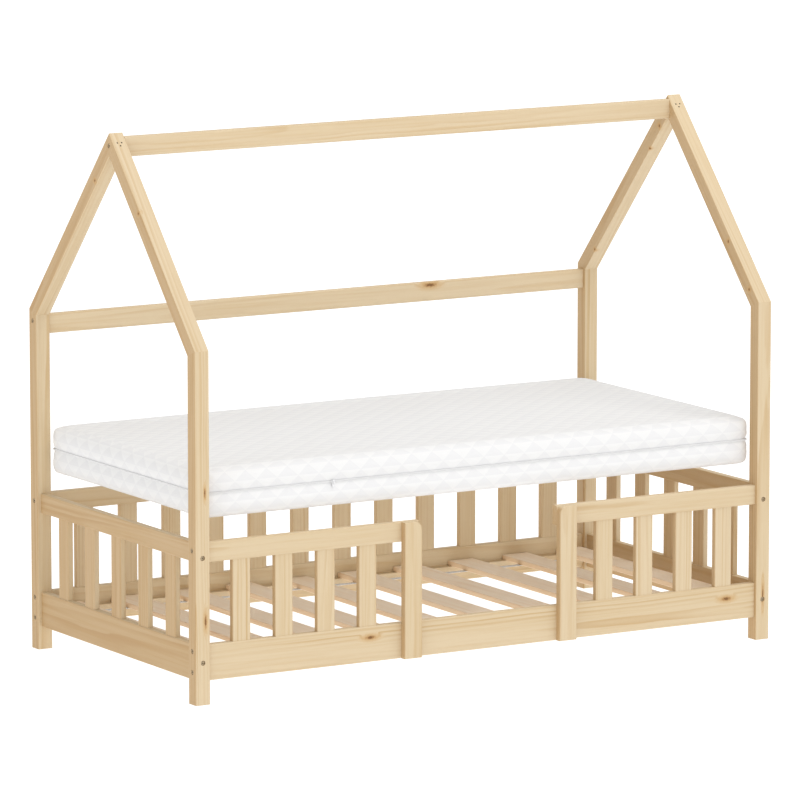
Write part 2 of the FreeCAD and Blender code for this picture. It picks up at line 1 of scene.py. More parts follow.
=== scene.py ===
"""House frame bed: the pine frame and its fasteners, and the quilted mattress with its zip."""

import math

import bmesh
import bpy
import numpy as np
from mathutils import Matrix, Vector


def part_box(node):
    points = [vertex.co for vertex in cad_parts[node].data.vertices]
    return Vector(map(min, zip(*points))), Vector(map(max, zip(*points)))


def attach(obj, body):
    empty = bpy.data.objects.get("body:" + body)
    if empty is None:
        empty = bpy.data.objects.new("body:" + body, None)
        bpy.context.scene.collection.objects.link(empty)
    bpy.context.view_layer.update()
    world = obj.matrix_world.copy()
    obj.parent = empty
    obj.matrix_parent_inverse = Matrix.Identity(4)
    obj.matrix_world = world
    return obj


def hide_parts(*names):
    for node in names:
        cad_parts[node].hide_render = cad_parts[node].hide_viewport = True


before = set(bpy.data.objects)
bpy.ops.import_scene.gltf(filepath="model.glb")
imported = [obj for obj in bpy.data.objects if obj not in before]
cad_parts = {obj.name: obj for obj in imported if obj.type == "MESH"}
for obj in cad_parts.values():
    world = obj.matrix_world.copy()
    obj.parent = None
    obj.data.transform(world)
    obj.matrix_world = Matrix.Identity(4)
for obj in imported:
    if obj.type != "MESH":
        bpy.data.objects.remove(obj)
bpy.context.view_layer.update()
scene = bpy.context.scene

# Sizes in metres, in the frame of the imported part.
POST_FACE_X = 0.8385  # seat of the sunk screw heads along X
POST_FACE_Y = 0.4315
RAIL_LINE = 0.414
GABLE_LINE = 0.82
PEAK = 1.3639
SLOPE = math.radians(48.5)

# Heights of the sunk screws: those that run along X into the long rails, and along Y into the end rails.
LONG_RAIL_SCREWS = (0.3825, 0.133, 0.081)
END_RAIL_SCREWS = (0.365, 0.105)
EAVE_SCREW = 0.8441
RIDGE_SCREW = PEAK - 0.031

MATTRESS_HALF = (0.807, 0.4)
MATTRESS_BASE = 0.453
MATTRESS_THICK = 0.126
MATTRESS_CORNER = 0.024
EDGE_ROUND = 0.018
CROWN = 0.006
# Section of the drawn-in waist down to the slit, in millimetres: distance from the zip's line, and inset.
WAIST = ((36, 0), (28, 0.05), (20, 0.25), (14, 0.75), (9.5, 1.6), (6.4, 2.6), (4.6, 3.4))
WAIST += ((3.0, 4.0), (2.0, 4.5), (1.5, 5.2), (1.4, 6.2), (0.5, 6.2))
SLACK = 0.004  # the cover starts this much smaller than it swells to
COVER_STEP = 0.0125  # size of the cover's faces before they are halved
SWELL_FRAMES = 20

QUILT_ROW = 0.0265  # height of a triangle of the quilting
QUILT_BASE = 0.0595  # its width
SIDE_PUFF = 0.001
TOP_PUFF = 0.0005
SEAM_DEPTH, SEAM_WIDTH = 0.0014, 0.0035
SIDE_END = 6.0  # the side's cloth ends before this length, and the panels' cloth lies past it
PANEL_SHIFT = 168 * QUILT_BASE

COIL_INSET = 0.0056
ZIP_LINE = MATTRESS_BASE + MATTRESS_THICK / 2
SLIDER_X = -0.432
SLIDER_BACK = -0.3953
PULL_HINGE = Vector((SLIDER_X, -0.3987, 0.5139))
PULL_HALF = 0.0006  # half its thickness

# Section of the zip's tape: inset from the mattress's full size, and height over the zip's line.
TAPE_SECTION = ((0.0059, -0.0022), (0.0055, -0.0013), (0.0060, -0.0010), (0.0060, 0.0010))
TAPE_SECTION += ((0.0055, 0.0013), (0.0059, 0.0022), (0.0085, 0.0022), (0.0085, -0.0022))

# Outlines of the slider, in millimetres from its middle; the arch of its bail goes forward and up.
SHIELD = ((-4.5, -2.4), (-3.6, -3.4), (1.6, -4.7), (3.6, -4.6), (4.5, -3.6))
SHIELD += ((4.5, 3.6), (3.6, 4.6), (1.6, 4.7), (-3.6, 3.4), (-4.5, 2.4))
WEDGE = ((-4.1, -1.2), (3.9, -2.1), (3.9, 2.1), (-4.1, 1.2))
ARCH = ((0.0, -4.0), (-2.2, -4.0), (-3.0, -3.2), (-3.0, 3.2), (-2.2, 4.0), (0.0, 4.0))
ARCH += ((0.0, 3.0), (-1.7, 3.0), (-2.0, 2.7), (-2.0, -2.7), (-1.7, -3.0), (0.0, -3.0))

# The camera fitted to the photograph, and each lamp's place, width, height, power and colour.
CAMERA_SPOT = (-8.6309, -14.5400, 3.3339)
CAMERA_AIM = (-0.0042, 0, 0.6299)
CAMERA_LENS = 302.67
LAMPS = {
    "Key_light": ((1.6, -2.0, 7.5), 4.0, 4.0, 240, (1.0, 0.995, 0.985)),
    "Front_light": ((-1.5, -9.5, 0.5), 8.0, 0.8, 88, (1.0, 1.0, 1.0)),
    "Fill_light": ((-6.0, -2.0, 2.0), 4.0, 3.0, 42, (1.0, 0.96, 0.9)),
}
LAMP_AIM = Vector((0, 0, 0.6))


# Node shorthand.


def feed(tree, socket, value):
    """Gives an input a value, or links it to the socket that feeds it."""
    if isinstance(value, bpy.types.NodeSocket):
        tree.links.new(value, socket)
    else:
        socket.default_value = value


def add(tree, kind, sockets=None, **settings):
    """Adds a node with its settings, and values or links for its inputs by name or number."""
    made = tree.nodes.new(kind)
    for name, value in settings.items():
        setattr(made, name, value)
    for key, value in (sockets or {}).items():
        feed(tree, made.inputs[key], value)
    return made


def calc(tree, operation, *values, clamp=False):
    made = add(tree, "ShaderNodeMath", dict(enumerate(values)), operation=operation, use_clamp=clamp)
    return made.outputs[0]


def vector_calc(tree, operation, *values, result="Vector"):
    return add(tree, "ShaderNodeVectorMath", dict(enumerate(values)), operation=operation).outputs[result]


def tint(tree, factor, first, second, mode="MIX"):
    """One colour passing into another."""
    sockets = {0: factor, 6: first, 7: second}
    return add(tree, "ShaderNodeMix", sockets, data_type="RGBA", blend_type=mode).outputs[2]


def fade(tree, value, low, high, at_low=0.0, at_high=1.0):
    """A smooth step from one amount to another as value passes from low to high."""
    sockets = {"Value": value, "From Min": low, "From Max": high, "To Min": at_low, "To Max": at_high}
    return add(tree, "ShaderNodeMapRange", sockets, interpolation_type="SMOOTHSTEP").outputs["Result"]


def speckle(tree, place, stretch, detail=2.0):
    """Noise from 0 to 1 over a place, with so many lumps to the metre along each axis."""
    spread = vector_calc(tree, "MULTIPLY", place, stretch)
    return add(tree, "ShaderNodeTexNoise", {"Vector": spread, "Scale": 1.0, "Detail": detail}).outputs["Fac"]


def white_noise(tree, number):
    """A draw of its own for each whole number, as a value and as a colour."""
    return add(tree, "ShaderNodeTexWhiteNoise", {"W": number}, noise_dimensions="1D").outputs


def waves(tree, along, length):
    """A sine wave along a measure, each wave so long."""
    return calc(tree, "SINE", calc(tree, "MULTIPLY", along, 2 * math.pi / length))


def linear(red, green, blue):
    """A colour given in the 0 to 255 steps of a screen."""
    steps = [value / 255 for value in (red, green, blue)]
    return [s / 12.92 if s <= 0.04045 else ((s + 0.055) / 1.055) ** 2.4 for s in steps] + [1.0]


def new_material(name):
    made = bpy.data.materials.new(name)
    made.use_nodes = True
    made.node_tree.nodes.clear()
    return made, made.node_tree


def finish_shader(tree, sockets, height=None, depth=0.0):
    """Ends a material in its shader, with the bump that its height gives."""
    shader = add(tree, "ShaderNodeBsdfPrincipled", sockets)
    if height is not None:
        bump = add(tree, "ShaderNodeBump", {"Strength": 1.0, "Distance": depth, "Height": height})
        tree.links.new(bump.outputs["Normal"], shader.inputs["Normal"])
    add(tree, "ShaderNodeOutputMaterial", {"Surface": shader.outputs["BSDF"]})


# Pine.

# Each palette is early wood, late wood and the streaks over both.
FRAME_PINE = (linear(215, 196, 164), linear(191, 158, 111), linear(204, 178, 137))
# Painted light: a lighter palette for the boards under the mattress, standing in for the light it keeps off.
PAINTED_LIGHTER_PINE = (linear(223, 204, 171), linear(199, 165, 116), linear(212, 186, 143))
# Painted light: the slats' palette is painted far lighter than the frame's, standing in for the light the
# mattress keeps off.
PAINTED_LIGHTER_SLAT_PINE = (linear(252, 236, 214), linear(240, 211, 177), linear(247, 225, 197))
PAINTED_LIGHTER_BOARDS = ("back_balusters", "back_top_rail", "back_base_rail")  # painted light: these boards under the mattress wear a lighter palette, standing in for the light it keeps off
PAINTED_SIDE_SHADE = (0.82, 0.72, 0.6, 1.0)  # painted shade: deepens and warms the faces along X, as in the photograph
KNOT_HEART, KNOT_WOOD, KNOT_HALO = linear(112, 74, 38), linear(168, 122, 66), linear(198, 158, 102)

X_WAY, Y_WAY, Z_WAY = (1, 0, 0), (0, 1, 0), (0, 0, 1)
POST_FACE = (0.4, 1, 0)
LONG_BOARDS = ("ridge_beam", "back_eave_rail", "back_top_rail", "back_base_rail", "front_base_rail")
LONG_BOARDS += ("front_slat_ledger", "back_slat_ledger", "left_guard_rail", "right_guard_rail")

# The photograph's knots: centre of each, and its reach along X, Y and Z.
KNOTS = {
    "back_eave_rail": [((0.327, 0.404, 0.852), (0.026, 0.012, 0.008))],
    "front_left_post": [
        ((-0.8126, -0.433, 0.208), (0.0048, 0.008, 0.024)),
        ((-0.8134, -0.433, 0.5255), (0.0034, 0.008, 0.018)),
    ],
    "back_left_post": [((-0.84, 0.380, 0.652), (0.01, 0.006, 0.012))],
    "front_right_post": [((0.8207, -0.433, 0.118), (0.0034, 0.004, 0.034))],
    "front_base_rail": [
        ((-0.341, -0.424, 0.1196), (0.02, 0.01, 0.007)),
        ((0.7146, -0.424, 0.1147), (0.02, 0.01, 0.0075)),
    ],
    "back_left_rafter": [((-0.84, 0.0735, 1.2385), (0.008, 0.006, 0.006))],
    "front_left_rafter": [((-0.84, -0.1514, 1.1814), (0.008, 0.006, 0.006))],
    "back_right_rafter": [
        ((0.8, 0.0364, 1.2798), (0.01, 0.006, 0.007)),
        ((0.8, 0.0817, 1.2160), (0.008, 0.005, 0.005)),
        ((0.8, 0.3471, 0.9199), (0.008, 0.005, 0.006)),
    ],
    "front_right_rafter": [
        ((0.8, -0.2912, 1.0154), (0.01, 0.006, 0.007)),
        ((0.8, -0.3895, 0.9033), (0.008, 0.006, 0.006)),
    ],
}

# Rows of balusters that are one node: the axis they stand along, where the first begins, and the spacing.
BALUSTER_ROWS = {
    "left_end_balusters": ("Y", -0.35, 0.14),
    "right_end_balusters": ("Y", -0.35, 0.14),
    "back_balusters": ("X", -0.76157, 0.126933),
    "left_guard_balusters": ("X", -0.7652, 0.1196),
    "right_guard_balusters": ("X", 0.2868, 0.1196),
}


def knot_group():
    """A solid knot: how far a point is inside its dark heart, its own wood and the amber wood round it."""
    tree = bpy.data.node_groups.new("Pine knot", "ShaderNodeTree")
    for name in ("Place", "Centre", "Size"):
        tree.interface.new_socket(name=name, in_out="INPUT", socket_type="NodeSocketVector")
    for name in ("Heart", "Wood", "Halo"):
        tree.interface.new_socket(name=name, in_out="OUTPUT", socket_type="NodeSocketFloat")
    given = add(tree, "NodeGroupInput").outputs
    reach = vector_calc(tree, "SUBTRACT", given["Place"], given["Centre"])
    reach = vector_calc(tree, "DIVIDE", reach, given["Size"])
    ragged = calc(tree, "MULTIPLY_ADD", speckle(tree, given["Place"], (210, 210, 210)), 0.7, -0.35)
    away = calc(tree, "ADD", vector_calc(tree, "LENGTH", reach, result="Value"), ragged)
    heart = fade(tree, away, 0.2, 0.6, 1.0, 0.0)
    wood = fade(tree, away, 0.45, 1.0, 1.0, 0.0)
    halo = fade(tree, away, 0.7, 2.2, 1.0, 0.0)
    add(tree, "NodeGroupOutput", {"Heart": heart, "Wood": wood, "Halo": halo})
    return tree


KNOT = knot_group()


def grain_turn(grain, face, tilt, yaw):
    """Turns a board so that its grain lies along X and its face along Z, a little askew to the log."""
    along, out = Vector(grain).normalized(), Vector(face).normalized()
    turned = Matrix((along, out.cross(along), out))
    askew = Matrix.Rotation(math.radians(tilt), 3, "Y") @ Matrix.Rotation(math.radians(yaw), 3, "Z")
    return askew @ turned


def own_boards(tree, place, row, seed, log, tone):
    """Gives every board of a row its own stretch of the log and its own tone."""
    axis, start, spacing = row
    along = add(tree, "ShaderNodeSeparateXYZ", {0: place}).outputs[axis]
    count = calc(tree, "FLOOR", calc(tree, "DIVIDE", calc(tree, "SUBTRACT", along, start), spacing))
    draw = white_noise(tree, calc(tree, "ADD", count, float(seed)))
    log = vector_calc(tree, "ADD", log, vector_calc(tree, "MULTIPLY", draw["Color"], (3.0, 0.03, 0.04)))
    return log, calc(tree, "MULTIPLY_ADD", draw["Value"], 0.4, -0.2 + tone)


def knot_masks(tree, place, knots):
    """How far a point is in the heart, wood and halo of the nearest of the knots."""
    masks = {"Heart": 0.0, "Wood": 0.0, "Halo": 0.0}
    for centre, size in knots:
        knot = add(tree, "ShaderNodeGroup", node_tree=KNOT)
        for key, value in (("Place", place), ("Centre", centre), ("Size", size)):
            feed(tree, knot.inputs[key], value)
        masks = {key: calc(tree, "MAXIMUM", mask, knot.outputs[key]) for key, mask in masks.items()}
    return masks


def late_wood(tree, log, pitch, masks):
    """Late wood from 0 to 1, in rings that wander round the pith and bend round a knot."""
    from_pith = vector_calc(tree, "LENGTH", vector_calc(tree, "MULTIPLY", log, (0, 1, 1)), result="Value")
    wander = calc(tree, "MULTIPLY", speckle(tree, log, (1.3, 10, 10), 3.0), 0.022)
    waver = calc(tree, "MULTIPLY", speckle(tree, log, (8, 50, 50)), 0.0025)
    bent = calc(tree, "ADD", calc(tree, "ADD", from_pith, wander), waver)
    spread = add(tree, "ShaderNodeCombineXYZ", {"X": calc(tree, "MULTIPLY", bent, 55.0)}).outputs["Vector"]
    bent = calc(tree, "MULTIPLY_ADD", speckle(tree, spread, (1, 1, 1)), 0.016, bent)
    if masks:
        bent = calc(tree, "MULTIPLY_ADD", masks["Halo"], 0.012, bent)
    turns = calc(tree, "DIVIDE", bent, pitch)
    ring = calc(tree, "FRACT", turns)
    late = calc(tree, "MULTIPLY", fade(tree, ring, 0.3, 0.88), fade(tree, ring, 0.9, 1.0, 1.0, 0.0))
    year = white_noise(tree, calc(tree, "FLOOR", turns))
    return calc(tree, "MULTIPLY", late, fade(tree, year["Value"], 0.1, 0.9, 0.25, 1.0))


def clear_wood(tree, log, late, streak, fibre, tone, palette):
    """Early and late wood, streaked and fibrous, in broad patches of a deeper shade."""
    strength = fade(tree, speckle(tree, log, (1.7, 30, 30)), 0.3, 0.75, 0.12, 0.75)
    wood = tint(tree, calc(tree, "MULTIPLY", late, strength), palette[0], palette[1])
    wood = tint(tree, fade(tree, streak, 0.4, 0.75, 0.0, 0.4), wood, palette[2])
    wood = tint(tree, fade(tree, fibre, 0.3, 0.8, 0.0, 0.12), wood, palette[1])
    deepening = {"Saturation": 1.12, "Value": 0.94, "Color": wood}
    deeper = add(tree, "ShaderNodeHueSaturation", deepening).outputs[0]
    broad = speckle(tree, log, (0.9, 11, 11))
    shade = calc(tree, "ADD", fade(tree, broad, 0.25, 0.75, 0.0, 0.5), tone, clamp=True)
    return tint(tree, shade, wood, deeper)


# Painted shade: faces along X are multiplied by the painted side shade, so they come out darker and warmer.
def paint_side_shade(tree, facing, wood):
    side_shade_mask = calc(tree, "ABSOLUTE", add(tree, "ShaderNodeSeparateXYZ", {0: facing}).outputs["X"])
    return tint(tree, fade(tree, side_shade_mask, 0.5, 0.85), wood, PAINTED_SIDE_SHADE, mode="MULTIPLY")


def lay_knots(tree, masks, wood):
    """Amber wood round each knot, its own wood over that and its dark heart over both."""
    layers = (("Halo", 0.6, KNOT_HALO), ("Wood", 0.7, KNOT_WOOD), ("Heart", 0.85, KNOT_HEART))
    for key, amount, colour in layers:
        wood = tint(tree, calc(tree, "MULTIPLY", masks[key], amount), wood, colour)
    return wood


def pine(name, node, grain, face, seed, knots=(), row=None, palette=FRAME_PINE):
    """Pine sawn from a log whose pith runs under the board's face: rings, fibres, tone and knots."""
    chance = np.random.default_rng(seed)
    tilt = chance.uniform(0.5, 1.2) * chance.choice((-1, 1))
    turn = grain_turn(grain, face, tilt, chance.uniform(-0.3, 0.3))
    depth = chance.uniform(0.03, 0.065) * chance.choice((-1, 1))
    pith = Vector((chance.uniform(-4, 4), chance.uniform(-0.02, 0.02), depth))
    pitch = chance.uniform(0.007, 0.012)
    tone = chance.uniform(-0.1, 0.1)

    made, tree = new_material(name)
    given = add(tree, "ShaderNodeTexCoord").outputs
    place, facing = given["Object"], given["Normal"]
    low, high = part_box(node)
    turning = {"Vector": place, "Location": pith - turn @ ((low + high) / 2), "Rotation": turn.to_euler()}
    log = add(tree, "ShaderNodeMapping", turning).outputs["Vector"]
    if row:
        log, tone = own_boards(tree, place, row, seed, log, tone)
    masks = knot_masks(tree, place, knots) if knots else None

    late = late_wood(tree, log, pitch, masks)
    streak = speckle(tree, log, (3.5, 150, 150), 3.0)
    fibre = speckle(tree, log, (40, 1900, 1900))
    wood = paint_side_shade(tree, facing, clear_wood(tree, log, late, streak, fibre, tone, palette))
    if masks:
        wood = lay_knots(tree, masks, wood)
    height = calc(tree, "ADD", calc(tree, "MULTIPLY", late, 0.4), calc(tree, "MULTIPLY", fibre, 0.8))
    rough = fade(tree, streak, 0.2, 0.8, 0.48, 0.6)
    sockets = {"Base Color": wood, "Roughness": rough, "Specular IOR Level": 0.32}
    finish_shader(tree, sockets, height, 0.0002)
    return made


def frame_boards():
    """Every single board of the frame, with the ways of its grain and of its face."""
    boards = [(node, X_WAY, Y_WAY) for node in LONG_BOARDS]
    for side in ("left", "right"):
        boards += [(f"{side}_guard_upright", Z_WAY, Y_WAY)]
        boards += [(f"{side}_end_{level}_rail", Y_WAY, X_WAY) for level in ("top", "base")]
        for end, lean in (("front", 1), ("back", -1)):
            up_the_roof = (0, lean * math.cos(SLOPE), math.sin(SLOPE))
            boards += [(f"{end}_{side}_post", Z_WAY, POST_FACE), (f"{end}_{side}_rafter", up_the_roof, X_WAY)]
    return boards


def dress_board(node, grain, face, seed, knots=(), row=None):
    # Boards under the mattress get a palette painted lighter, as painted light.
    palette = PAINTED_LIGHTER_PINE if node in PAINTED_LIGHTER_BOARDS else FRAME_PINE
    wear(node, pine(f"Pine {node.replace('_', ' ')}", node, grain, face, seed, knots, row, palette))


def dress_pine():
    """One log for every board or row of boards, with the knots where the photograph has them."""
    for seed, (node, grain, face) in enumerate(frame_boards(), 11):
        dress_board(node, grain, face, seed, knots=KNOTS.get(node, ()))
    for seed, (node, row) in enumerate(BALUSTER_ROWS.items(), 61):
        dress_board(node, Z_WAY, X_WAY if row[0] == "Y" else Y_WAY, seed, row=row)
    for number in range(1, 11):
        node = f"slat_{number:02d}"
        # The slats wear their palette painted lighter, as painted light.
        wear(node, pine(f"Pine slat {number}", node, Y_WAY, Z_WAY, 80 + number, palette=PAINTED_LIGHTER_SLAT_PINE))


def wear(node, material):
    """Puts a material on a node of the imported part."""
    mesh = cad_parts[node].data
    mesh.materials.clear()
    mesh.materials.append(material)


# Other finishes.


def webbing():
    """White woven tape: a fine herringbone of ribs that changes its lean across the width."""
    made, tree = new_material("Woven webbing")
    place = add(tree, "ShaderNodeTexCoord").outputs["Object"]
    parts = add(tree, "ShaderNodeSeparateXYZ", {0: place}).outputs
    lean = calc(tree, "PINGPONG", parts["Y"], 0.0025)
    ribs = waves(tree, calc(tree, "ADD", parts["X"], lean), 0.0016)
    lines = waves(tree, parts["Y"], 0.0012)
    height = calc(tree, "MULTIPLY_ADD", lines, 0.4, ribs)
    fuzz = speckle(tree, place, (900, 900, 900))
    # Painted shade: the weave is painted darker in its grooves and lighter on its ribs' crowns, following the
    # bump's height.
    cloth = tint(tree, fade(tree, height, -1.2, 1.2), linear(230, 229, 226), linear(246, 245, 243))
    cloth = tint(tree, fade(tree, fuzz, 0.4, 0.8, 0.0, 0.12), cloth, linear(216, 214, 208))
    sockets = {"Base Color": cloth, "Roughness": 0.85, "Sheen Weight": 0.2, "Specular IOR Level": 0.2}
    finish_shader(tree, sockets, height, 0.00015)
    return made


def metal(name, bright, dull, roughness, mottle, plating=1.0):
    """Plated metal, a little mottled and finely scuffed; a painted one shows its plating less."""
    made, tree = new_material(name)
    place = add(tree, "ShaderNodeTexCoord").outputs["Object"]
    cloud = speckle(tree, place, (mottle, mottle, mottle), 3.0)
    scuffs = speckle(tree, place, (4000, 900, 4000), 2.0)
    colour = tint(tree, fade(tree, cloud, 0.3, 0.7), bright, dull)
    rough = calc(tree, "MULTIPLY_ADD", scuffs, 0.16, roughness)
    finish_shader(tree, {"Base Color": colour, "Metallic": plating, "Roughness": rough}, scuffs, 0.00002)
    return made


def quilt_lines(tree, across, up):
    """How near a point is to a line of the quilting, and whether its triangle points down."""
    rise = calc(tree, "DIVIDE", up, QUILT_ROW)
    lean = calc(tree, "DIVIDE", across, QUILT_BASE)
    right = calc(tree, "MULTIPLY_ADD", rise, 0.5, lean)
    left = calc(tree, "MULTIPLY_ADD", rise, -0.5, lean)
    gaps = [calc(tree, "PINGPONG", line, 0.5) for line in (rise, right, left)]
    nearest = calc(tree, "MINIMUM", calc(tree, "MINIMUM", gaps[0], gaps[1]), gaps[2])
    down = calc(tree, "LESS_THAN", calc(tree, "FRACT", right), calc(tree, "FRACT", rise))
    return nearest, down


def quilted_cover():
    """White knitted cover: every second triangle, the flatter one, painted a shade deeper as painted shade,
    and a fine knit over the whole.
    """
    made, tree = new_material("Quilted cover")
    flat = add(tree, "ShaderNodeUVMap", uv_map="cloth").outputs["UV"]
    parts = add(tree, "ShaderNodeSeparateXYZ", {0: flat}).outputs
    nearest, down = quilt_lines(tree, parts["X"], parts["Y"])
    pillow = fade(tree, nearest, 0.0, 0.3)
    knit = calc(tree, "MULTIPLY", waves(tree, parts["X"], 0.0018), waves(tree, parts["Y"], 0.0014))
    fuzz = speckle(tree, flat, (700, 700, 700), 3.0)
    # Painted shade: the flatter triangles that point up are painted a shade darker than the fuller ones that
    # point down.
    cloth = tint(tree, down, linear(227, 227, 228), linear(232, 232, 232))
    cloth = tint(tree, fade(tree, fuzz, 0.35, 0.8, 0.0, 0.2), cloth, linear(222, 222, 223))
    height = calc(tree, "MULTIPLY_ADD", knit, 0.08, pillow)
    height = calc(tree, "MULTIPLY_ADD", fuzz, 0.25, height)
    sockets = {"Base Color": cloth, "Roughness": 0.9, "Sheen Weight": 0.25, "Sheen Roughness": 0.5}
    sockets["Specular IOR Level"] = 0.15
    finish_shader(tree, sockets, height, 0.00025)
    return made


def zip_cloth():
    """Ribbed tape of the zip, about as white as the cover."""
    made, tree = new_material("Zip tape")
    place = add(tree, "ShaderNodeTexCoord").outputs["Object"]
    parts = add(tree, "ShaderNodeSeparateXYZ", {0: place}).outputs
    rib = waves(tree, parts["Z"], 0.0008)
    along = speckle(tree, place, (500, 500, 900))
    # Painted shade: the ribs are painted darker in their grooves and lighter on their crowns, following the
    # bump's height.
    cloth = tint(tree, fade(tree, rib, -1.0, 1.0), linear(230, 230, 231), linear(240, 240, 240))
    cloth = tint(tree, fade(tree, along, 0.4, 0.8, 0.0, 0.2), cloth, linear(224, 224, 226))
    finish_shader(tree, {"Base Color": cloth, "Roughness": 0.8, "Sheen Weight": 0.1}, rib, 0.0001)
    return made


def coil_plastic():
    """Satin plastic of the zip's coil."""
    made, tree = new_material("Zip coil")
    place = add(tree, "ShaderNodeTexCoord").outputs["Object"]
    cloud = speckle(tree, place, (300, 300, 300))
    colour = tint(tree, fade(tree, cloud, 0.3, 0.7), linear(232, 232, 233), linear(240, 240, 240))
    rough = fade(tree, cloud, 0.2, 0.8, 0.32, 0.45)
    finish_shader(tree, {"Base Color": colour, "Roughness": rough, "Specular IOR Level": 0.5}, cloud, 0.00003)
    return made


# Meshes.


def mesh_object(name, vertices, faces, material, smooth=True):
    mesh = bpy.data.meshes.new(name)
    mesh.from_pydata([tuple(v) for v in vertices], [], faces)
    mesh.update()
    if smooth:
        mesh.shade_smooth()
    made = bpy.data.objects.new(name, mesh)
    scene.collection.objects.link(made)
    if material:
        mesh.materials.append(material)
    return made


def apply_modifiers(piece):
    """Keeps what the modifiers show as the piece's own plain mesh."""
    bpy.context.view_layer.update()
    shown = piece.evaluated_get(bpy.context.evaluated_depsgraph_get())
    mesh = bpy.data.meshes.new_from_object(shown)
    piece.modifiers.clear()
    piece.data = mesh
    return piece


def point_out(piece):
    """Joins doubled vertices and turns every face outwards."""
    form = bmesh.new()
    form.from_mesh(piece.data)
    bmesh.ops.remove_doubles(form, verts=form.verts, dist=1e-6)
    bmesh.ops.recalc_face_normals(form, faces=form.faces)
    form.to_mesh(piece.data)
    form.free()
    return piece


def soften_edges(piece, width, angle):
    """Rounds every edge that turns by more than so many degrees."""
    edge = piece.modifiers.new("Edge", "BEVEL")
    edge.width, edge.segments = width, 2
    edge.limit_method, edge.angle_limit = "ANGLE", math.radians(angle)
    return apply_modifiers(piece)


def ring_faces(rows, count):
    """Faces round a closed band, its section of so many points, each a ring of so many vertices."""
    faces = []
    for row in range(rows):
        near, far = row * count, (row + 1) % rows * count
        for k in range(count):
            following = (k + 1) % count
            faces.append((near + k, near + following, far + following, far + k))
    return faces


def read_rows(items, name, width=3):
    """One value of every vertex or corner, as the rows of an array."""
    values = np.empty(len(items) * width)
    items.foreach_get(name, values)
    return values.reshape(-1, width)


def grow(name, tree, carrier_mesh, sizes):
    """Runs a Geometry Nodes tree on a carrier mesh and keeps the result as a plain mesh."""
    piece = bpy.data.objects.new(name, carrier_mesh)
    scene.collection.objects.link(piece)
    modifier = piece.modifiers.new("Form", "NODES")
    modifier.node_group = tree
    for item in tree.interface.items_tree:
        if item.item_type == "SOCKET" and item.in_out == "INPUT" and item.name in sizes:
            modifier[item.identifier] = sizes[item.name]
    return apply_modifiers(piece)


def new_form(name, inputs):
    """An empty Geometry Nodes tree with named inputs; returns it with its input and output nodes."""
    tree = bpy.data.node_groups.new(name, "GeometryNodeTree")
    tree.interface.new_socket(name="Geometry", in_out="OUTPUT", socket_type="NodeSocketGeometry")
    tree.interface.new_socket(name="Geometry", in_out="INPUT", socket_type="NodeSocketGeometry")
    for label, kind in inputs:
        tree.interface.new_socket(name=label, in_out="INPUT", socket_type=f"NodeSocket{kind}")
    return tree, add(tree, "NodeGroupInput").outputs


def end_form(tree, instances, finish):
    """Every tree ends in real geometry with its material."""
    real = add(tree, "GeometryNodeRealizeInstances", {"Geometry": instances}).outputs["Geometry"]
    painted = add(tree, "GeometryNodeSetMaterial", {"Geometry": real, "Material": finish}).outputs["Geometry"]
    add(tree, "NodeGroupOutput", {"Geometry": painted})


# Screws.


def ring_of(tree, path_radius, sides, wide, tall, soften):
    """A ring with a softened rectangular section, round a circle or a hexagon."""
    path = add(tree, "GeometryNodeCurvePrimitiveCircle", {"Resolution": sides, "Radius": path_radius})
    section = add(tree, "GeometryNodeCurvePrimitiveQuadrilateral", {"Width": wide, "Height": tall})
    rounding = {"Curve": section.outputs["Curve"], "Radius": soften, "Count": 3}
    section = add(tree, "GeometryNodeFilletCurve", rounding, mode="POLY")
    sweep = {"Curve": path.outputs["Curve"], "Profile Curve": section.outputs["Curve"]}
    return add(tree, "GeometryNodeCurveToMesh", sweep).outputs["Mesh"]


def shifted(tree, geometry, depth):
    drop = add(tree, "ShaderNodeCombineXYZ", {"Z": depth}).outputs["Vector"]
    return add(tree, "GeometryNodeTransform", {"Geometry": geometry, "Translation": drop}).outputs["Geometry"]


